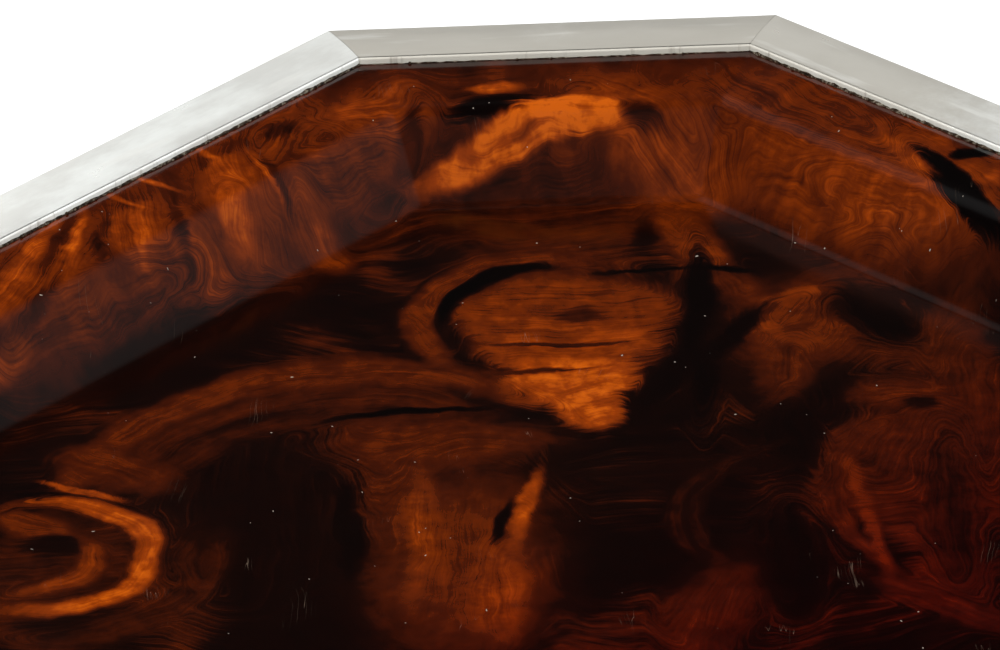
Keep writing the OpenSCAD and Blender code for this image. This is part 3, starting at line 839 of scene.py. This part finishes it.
def dust_and_scratches(g, plain):
    """How much of a speck of dust, and how much of a hairline scratch, a point is on."""
    dust = g.node("ShaderNodeTexVoronoi")
    g.feed(dust.inputs["Vector"], g.scaled(shifted(g, plain, 3, 1.2), 1 / 6.5))
    dust.inputs["Scale"].default_value = 1.0
    dust.inputs["Randomness"].default_value = 1.0
    pick, size, _ = g.separate(dust.outputs["Color"])
    speck = g.math("DIVIDE", dust.outputs["Distance"], g.mix(size, 0.025, 0.065))
    grit = g.times(g.smooth(speck, 1.0, 0.55), g.math("GREATER_THAN", pick, 0.42))
    scratch_run = g.moved(g.stretched(shifted(g, plain, 40, 8), (0.45, 0.02, 0)), (9, 4, 2))
    hair = g.math("ABSOLUTE", g.minus(g.noise(scratch_run, detail=1.0), 0.5))
    rare = g.smooth(g.noise(plain, 1 / 23, detail=1.0), 0.66, 0.74)
    return grit, g.times(g.smooth(hair, 0.0035, 0.0), rare)


def tortoiseshell():
    g = Graph("tortoiseshell")
    plain = corner_terms(g)
    warped = shifted(g, shifted(g, plain, 38, 4.5), 10, 2.0)
    grain = sheet_grain(g, grain_flow(g, plain, warped))
    tone = poured_tone(g, ground_tone(g, plain, warped, grain), warped, grain)
    # the grain shows most on the walls and least in the brightest amber
    _, _, z = g.separate(g.position())
    strength = g.times(g.smooth(tone, 0.5, 0.9, 0.9, 0.35),
                       g.smooth(z, FLOOR_Z + 1 * MM, FLOOR_Z + 6 * MM, 0.75, 1.0))
    tone = g.times(tone, g.plus(1.0, g.times(grain, strength)))
    cloud = g.noise(warped, 1 / 8, detail=4.0, roughness=0.6)
    tone = g.times(tone, g.smooth(cloud, 0.3, 0.7, 0.84, 1.16), clamp=True)

    amber = g.ramp(tone, [(0.0, (0.0020, 0.0010, 0.0009)), (0.20, (0.0105, 0.0021, 0.0010)),
                          (0.40, (0.050, 0.0062, 0.0009)), (0.60, (0.125, 0.0160, 0.0006)),
                          (0.80, (0.25, 0.034, 0.0006)), (1.0, (0.50, 0.088, 0.002))])
    redder = g.smooth(g.dot(plain, (0.6, 0.8, 0)), 180, 320, 0.0, 0.95)
    colour = g.tint(redder, amber, g.tint(1.0, amber, (0.95, 0.30, 0.35), "MULTIPLY"))
    grit, scratch = dust_and_scratches(g, plain)
    colour = g.tint(g.times(grit, 0.75), colour, (0.42, 0.36, 0.30))
    colour = g.tint(g.times(scratch, 0.35), colour, (0.35, 0.25, 0.18))
    handled = g.noise(plain, 1 / 30, detail=5.0, roughness=0.65)
    rough = g.plus(g.smooth(handled, 0.3, 0.75, 0.11, 0.19), g.times(grit, 0.5))

    waves = g.noise(plain, 1 / 34, detail=1.0)
    ripple = g.noise(plain, 1 / 5, detail=2.0)
    height = g.plus(g.times(waves, 0.07), g.times(ripple, 0.004))
    height = g.minus(g.plus(height, g.times(grit, 0.06)), g.times(scratch, 0.01))
    return g.finish(Base_Color=colour, Roughness=rough, IOR=1.5, Normal=g.bump(height, MM))


# ---- Metals ----

# How tarnished each rim bar is, from the bar at +X on counter-clockwise; the large amounts on the +X bar and
# the next, at the canted corner, are also painted shade that darkens those bars
TARNISH_AND_SHADE = (0.92, 0.96, 0.0, 0.45, 0.30, 0.65, 0.20, 0.50)


def rim_plate(k):
    """Silver plate on brass for side k, brushed along the side; worn to brass at the edge."""
    g = Graph(f"rim_plate_{k + 1}")
    turn = math.radians(45) * k
    p = g.position()
    out = g.dot(p, (math.cos(turn) / MM, math.sin(turn) / MM, 0))
    side = g.dot(p, (-math.sin(turn) / MM, math.cos(turn) / MM, 0))
    local = g.combine(out, side, float(k))
    inset = g.math("DIVIDE", g.attribute("inset"), MM)
    mitre = g.math("DIVIDE", g.attribute("mitre_distance"), MM)

    fine_lines = g.noise(g.stretched(local, (3.2, 0.035, 1)), detail=2.0, roughness=0.7)
    long_lines = g.noise(g.stretched(local, (0.9, 0.012, 1)), roughness=0.6)
    lines = g.mix(0.5, fine_lines, long_lines)
    smudge = g.noise(g.stretched(local, (0.05, 0.022, 1)), detail=5.0, roughness=0.62)
    cloud = g.noise(local, 0.16, detail=5.0, roughness=0.7)
    bright = g.smooth(smudge, 0.34, 0.68)
    colour = g.tint(bright, (0.76, 0.76, 0.72), (0.95, 0.97, 0.93))
    # tarnish gathers near the mitres; on the +X and canted-corner bars it is also painted shade
    tarnish_and_shade = g.smooth(g.plus(mitre, g.times(cloud, 60)), 90, 160, TARNISH_AND_SHADE[k], 0.0)
    colour = g.tint(tarnish_and_shade, colour, (0.56, 0.53, 0.46))
    wiped = g.smooth(g.noise(g.stretched(local, (0.11, 0.018, 1))), 0.58, 0.72)
    colour = g.tint(g.times(wiped, 0.55), colour, (0.92, 0.92, 0.87))
    spots = g.smooth(cloud, 0.66, 0.80)
    colour = g.tint(g.times(spots, 0.35), colour, (0.42, 0.43, 0.40))
    colour = g.tint(g.times(g.minus(lines, 0.35, clamp=True), 0.35), colour, (0.60, 0.60, 0.57))
    _, _, height = g.separate(g.scaled(p, 1 / MM))
    skirt = g.smooth(height, RIM_Z / MM - 4, RIM_Z / MM - 2)
    worn = g.smooth(g.plus(inset, g.times(g.minus(cloud, 0.5), 1.2)), 0.75, 0.15)
    colour = g.tint(g.times(worn, skirt), colour, (0.33, 0.20, 0.09))
    lip = g.smooth(inset, RIM_WIDTH / MM - 0.6, RIM_WIDTH / MM - 0.2)
    # patchy dark along the inner lip: painted shade of the recess under the rim, broken up like grime
    lip_grime_and_shade = g.times(lip, g.smooth(cloud, 0.56, 0.70))
    colour = g.tint(g.times(lip_grime_and_shade, 0.6), colour, (0.16, 0.12, 0.09))
    seam = g.smooth(g.plus(mitre, g.times(cloud, 0.5)), 0.75, 0.25)
    colour = g.tint(g.times(seam, 0.45), colour, (0.46, 0.43, 0.38))
    rough = g.plus(g.smooth(smudge, 0.3, 0.7, 0.36, 0.27), g.times(spots, 0.12))
    rough = g.mix(lip, rough, 0.62)
    metallic = g.mix(lip, 1.0, 0.25)

    dents = g.noise(g.stretched(local, (0.06, 0.03, 1)), detail=2.0)
    relief = g.plus(g.times(lines, 0.012), g.times(dents, 0.25))
    return g.finish(Base_Color=colour, Metallic=metallic, Roughness=rough, Normal=g.bump(relief, MM))


def plated_metal(name, bright, dull, worn, edge_radius, grain=(0.5, 0.5, 0.5)):
    """A satin metal for the stand's pieces: clouded, finely brushed, worn at its edges."""
    g = Graph(name)
    p = g.scaled(g.position(), 1 / MM)
    normal, edge = g.rounded(edge_radius)
    cloud = g.noise(p, 1 / 26, detail=5.0, roughness=0.6)
    lines = g.noise(g.stretched(p, grain), roughness=0.65)
    colour = g.tint(g.smooth(cloud, 0.36, 0.66), dull, bright)
    wear = g.times(g.smooth(edge, 0.03, 0.22), g.smooth(cloud, 0.44, 0.56))
    colour = g.tint(wear, colour, worn)
    stain = g.smooth(g.noise(p, 1 / 8, detail=5.0, roughness=0.7), 0.64, 0.78)
    colour = g.tint(g.times(stain, 0.5), colour, tuple(0.45 * c for c in dull))
    rough = g.plus(g.smooth(lines, 0.3, 0.7, 0.26, 0.38), g.times(stain, 0.15))
    bumped = g.bump(g.times(lines, 0.01), MM, normal=normal)
    return g.finish(Base_Color=colour, Metallic=1.0, Roughness=rough, Normal=bumped)


# ---- Other materials ----

def resin():
    g = Graph("clear_resin")
    p = g.scaled(g.position(), 1 / MM)
    cloud = g.noise(p, 0.7, detail=4.0, roughness=0.65)
    colour = g.ramp(cloud, [(0.35, (0.006, 0.004, 0.003)), (0.52, (0.05, 0.032, 0.02)),
                            (0.66, (0.30, 0.26, 0.20))])
    rough = g.smooth(cloud, 0.3, 0.7, 0.05, 0.22)
    height = g.noise(p, 2.4, detail=2.0)
    return g.finish(Base_Color=colour, Roughness=rough, IOR=1.5,
                    Normal=g.bump(g.times(height, 0.08), MM))


def stained_board():
    """Plywood stained nearly black: grain on its faces, plies along its edges."""
    g = Graph("board_lacquer")
    p = g.scaled(g.position(), 1 / MM)
    normal, edge = g.rounded(0.8 * MM)
    _, _, z = g.separate(p)
    ply = g.math("SINE", g.times(z, 2 * math.pi / 3))
    grain = g.noise(g.stretched(p, (0.02, 0.7, 0.7)), detail=5.0, roughness=0.65, distortion=0.4)
    colour = g.ramp(grain, [(0.3, (0.012, 0.008, 0.006)), (0.5, (0.035, 0.020, 0.012)),
                            (0.7, (0.075, 0.042, 0.022))])
    colour = g.tint(g.smooth(ply, -0.2, 0.6, 0.0, 0.35), colour, (0.018, 0.011, 0.008))
    colour = g.tint(g.smooth(edge, 0.05, 0.3, 0.0, 0.5), colour, (0.16, 0.10, 0.055))
    rough = g.smooth(grain, 0.3, 0.7, 0.38, 0.55)
    bumped = g.bump(g.times(grain, 0.12), MM, normal=normal)
    return g.finish(Base_Color=colour, Roughness=rough, Normal=bumped)


def felt():
    g = Graph("pad_felt")
    p = g.scaled(g.position(), 1 / MM)
    fibres = g.noise(p, 1.6, detail=6.0, roughness=0.75, distortion=1.5)
    wear = g.noise(p, 1 / 40)
    colour = g.tint(fibres, (0.012, 0.020, 0.014), (0.06, 0.085, 0.06))
    colour = g.tint(g.smooth(wear, 0.5, 0.7, 0.0, 0.4), colour, (0.10, 0.11, 0.085))
    return g.finish(Base_Color=colour, Roughness=0.95, Sheen_Weight=0.4, Sheen_Roughness=0.5,
                    Normal=g.bump(fibres, 0.5 * MM))


def shoe_rubber():
    g = Graph("shoe_rubber")
    p = g.scaled(g.position(), 1 / MM)
    normal, edge = g.rounded(0.9 * MM)
    cloud = g.noise(p, 1 / 7, detail=5.0, roughness=0.65)
    colour = g.tint(cloud, (0.012, 0.012, 0.012), (0.045, 0.043, 0.040))
    colour = g.tint(g.smooth(edge, 0.05, 0.3, 0.0, 0.5), colour, (0.12, 0.115, 0.105))
    rough = g.smooth(cloud, 0.3, 0.7, 0.5, 0.72)
    pores = g.noise(p, 1.8)
    return g.finish(Base_Color=colour, Roughness=rough, Normal=g.bump(pores, 0.06 * MM, normal=normal))


def strap_leather():
    """Dark bridle leather: pebbled grain, paler where it is handled, and painted shade in the creases
    between the pebbles.
    """
    g = Graph("strap_leather")
    p = g.scaled(g.position(), 1 / MM)
    cells = g.node("ShaderNodeTexVoronoi", feature="DISTANCE_TO_EDGE")
    g.feed(cells.inputs["Vector"], g.scaled(shifted(g, p, 4, 0.8), 1 / 1.1))
    cells.inputs["Scale"].default_value = 1.0
    pebble = g.smooth(cells.outputs["Distance"], 0.0, 0.22)
    hand = g.noise(p, 1 / 18, detail=4.0, roughness=0.6)
    colour = g.tint(g.smooth(hand, 0.35, 0.7), (0.035, 0.014, 0.007), (0.12, 0.050, 0.022))
    # painted shade: darker in the creases between the pebbles
    colour = g.tint(g.times(g.minus(1.0, pebble), 0.5), colour, (0.015, 0.007, 0.004))
    rough = g.smooth(hand, 0.3, 0.7, 0.58, 0.40)
    return g.finish(Base_Color=colour, Roughness=rough, Normal=g.bump(pebble, 0.12 * MM))


def pale_floor():
    g = Graph("pale_floor")
    p = g.scaled(g.position(), 1 / MM)
    tone = g.noise(p, 1 / 400, detail=2.0)
    colour = g.tint(tone, (0.93, 0.93, 0.925), (0.95, 0.95, 0.945))
    return g.finish(Base_Color=colour, Roughness=0.9)


# ---- Camera, light and floor ----

def make_camera():
    """The photograph's view: over the tray towards one canted corner, through a long lens."""
    heading, pitch, roll = math.radians(44.72), math.radians(30.875), math.radians(-1.887)
    side = Vector((math.sin(heading), -math.cos(heading), 0))
    level = Vector((math.cos(heading), math.sin(heading), 0))
    look = level * math.cos(pitch) - Vector((0, 0, math.sin(pitch)))
    over = side.cross(look)
    right = side * math.cos(roll) + over * math.sin(roll)
    up = over * math.cos(roll) - side * math.sin(roll)
    data = bpy.data.cameras.new("camera")
    data.lens = 199.7
    data.sensor_width = 36
    data.clip_end = 30
    camera = add_object("camera", data)
    eye = (-0.9415, -0.9605, RIM_Z + 0.8694)
    turn = Matrix((right, up, -look)).transposed().to_4x4()
    camera.matrix_world = Matrix.Translation(eye) @ turn
    bpy.context.scene.camera = camera


def corner_direction(right, away, up):
    """A direction given as the camera has it: to its right, away from it, and up."""
    root = math.sqrt(0.5)
    return Vector((root * (right + away), root * (away - right), up)).normalized()


# Dim soft lights that only polished pieces show: direction, strength, full and outer angles
GLOWS = [
    ((0.90, -0.04, 0.44), 0.18, 4, 54),
    ((0.0, -0.73, 0.68), 0.05, 6, 38),
    ((-0.38, 0.52, 0.77), 0.18, 1, 26),
]


def make_world():
    """A white room for the eye and for matt pieces; polish sees a dark room with soft lights."""
    g = Graph("studio", "worlds")
    bpy.context.scene.world = g.made

    def background(strength, colour=(1, 1, 1, 1)):
        made = g.node("ShaderNodeBackground")
        g.feed_all(made.inputs, (colour, strength))
        return made.outputs[0]

    def choose(factor, a, b):
        made = g.node("ShaderNodeMixShader")
        g.feed_all(made.inputs, (factor, a, b))
        return made.outputs[0]

    direction = g.node("ShaderNodeTexCoord").outputs["Generated"]
    _, _, height = g.separate(direction)
    wall_top, blur, wall_glow, room_glow = math.sin(math.radians(32.35)), 0.010, 0.014, 0.008
    total = g.mix(g.linear(height, wall_top - blur, wall_top + blur), wall_glow, room_glow)
    for towards, strength, full, outer in GLOWS:
        facing = g.dot(direction, corner_direction(*towards))
        lobe = g.smooth(facing, math.cos(math.radians(outer)), math.cos(math.radians(full)), 0.0, strength)
        total = g.plus(total, lobe)
    path = g.node("ShaderNodeLightPath").outputs
    unseen = choose(path["Is Diffuse Ray"], background(total), background(0.75, (0.98, 1, 1, 1)))
    final = choose(path["Is Camera Ray"], unseen, background(1.05))
    g.feed(g.node("ShaderNodeOutputWorld").inputs[0], final)


def softbox(name, direction, width, height, power, only_for=None, mirrored=True):
    """A rectangular studio light aimed at the corner; mirrored says if polished pieces show it."""
    distance = 2.4
    target = Vector((HALF_X - CORNER_CUT / 2, HALF_Y - CORNER_CUT / 2, TABLE_HEIGHT))
    data = bpy.data.lights.new(name, "AREA")
    data.shape = "RECTANGLE"
    data.size, data.size_y = width, height
    data.energy = power
    light = add_object(name, data)
    light.location = target + corner_direction(*direction) * distance
    light.rotation_euler = (target - light.location).to_track_quat("-Z", "Y").to_euler()
    light.visible_glossy = mirrored
    if only_for is not None:
        light.light_linking.receiver_collection = only_for


# Broad lights that only the satin metal takes: direction, width and height in metres, power
METAL_LIGHTS = {
    "metal_top": ((0, 0.90, 0.44), 3.0, 1.6, 14),
    "metal_left": ((-0.66, 0.70, 0.42), 1.6, 1.4, 29),
    "metal_right": ((0.95, 0.55, 0.45), 1.6, 1.4, 26),
    "metal_front": ((0, -0.9, 0.6), 3.0, 1.4, 30),
    "metal_far_right": ((1.0, -0.2, 0.35), 3.0, 1.6, 6),
    "metal_far_left": ((-1.0, -0.2, 0.35), 3.0, 1.6, 6),
}


def make_lights(metal):
    """One big light over everything that polish doesn't show, and the metal's own."""
    softbox("key_box", (-0.4, -0.3, 1.0), 1.6, 1.6, 40, mirrored=False)
    for name, light in METAL_LIGHTS.items():
        softbox(name, *light, only_for=metal)


def make_floor_light(ground):
    """An even, very soft light on the floor alone, so that it stays white to the horizon."""
    data = bpy.data.lights.new("floor_light", "SUN")
    data.energy = 1.3
    data.angle = math.radians(120)
    add_object("floor_light", data).light_linking.receiver_collection = ground


def make_floor():
    bpy.ops.mesh.primitive_plane_add(size=12, location=(0, 0, 0))
    floor = bpy.context.object
    floor.name = "studio_floor"
    floor.data.materials.append(pale_floor())
    return floor


# ---- Putting it together ----

def dress(material, nodes, collection=None):
    """Gives CAD nodes, whose shapes stay, one material; metal ones join the metal collection."""
    for name in nodes:
        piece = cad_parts[name]
        piece.data.materials.clear()
        piece.data.materials.append(material)
        if collection is not None:
            collection.objects.link(piece)


def dress_frame(metal):
    silver, silver_dull, bare = (0.72, 0.72, 0.69), (0.48, 0.47, 0.44), (0.46, 0.30, 0.12)
    grain_up, grain_x = (0.9, 0.06, 0.06), (0.02, 1.1, 1.1)
    stand = plated_metal("stand_plate", silver, silver_dull, bare, 0.7 * MM, grain_up)
    dress(stand, ["outer_leg_left", "outer_leg_right", "inner_leg_left", "inner_leg_right", "tray_cleats"],
          metal)
    rails = plated_metal("rail_plate", silver, silver_dull, bare, 0.5 * MM, grain_x)
    dress(rails, ["outer_top_rail", "inner_top_rail", "outer_stretcher", "inner_stretcher"], metal)
    brass = plated_metal("raw_brass", (0.80, 0.60, 0.27), (0.55, 0.38, 0.16), (0.90, 0.72, 0.38), 0.3 * MM)
    dress(brass, ["corner_brackets", "rim_studs", "retaining_strips", "pivot_spacers", "pivot_washers",
                  "strap_rivets_outer", "strap_rivets_inner"], metal)
    nickel = plated_metal("fastener_steel", (0.78, 0.77, 0.75), (0.52, 0.51, 0.49), (0.34, 0.32, 0.30),
                          0.3 * MM)
    dress(nickel, ["stud_nuts", "cleat_screws", "outer_rail_screws", "inner_rail_screws", "pivot_bolts",
                   "pivot_nuts"], metal)
    dress(stained_board(), ["base_board"])
    dress(shoe_rubber(), ["outer_foot_shoes", "inner_foot_shoes"])


bpy.context.scene.view_settings.view_transform = "Standard"
make_camera()
make_world()
metal, ground = bpy.data.collections.new("metal"), bpy.data.collections.new("ground")
ground.objects.link(make_floor())
dress_frame(metal)
make_pan().data.materials.append(tortoiseshell())
rim_section = rim_profile()
for side in range(SIDES):
    metal.objects.link(make_rim_bar(side, rim_section, rim_plate(side)))
make_lights(metal)
make_floor_light(ground)
make_resin(resin())
make_felt(felt())
leather = strap_leather()
for strap_name, strap_node in (("leather_strap_left", "strap_left"), ("leather_strap_right", "strap_right")):
    make_strap(strap_name, strap_node, leather)
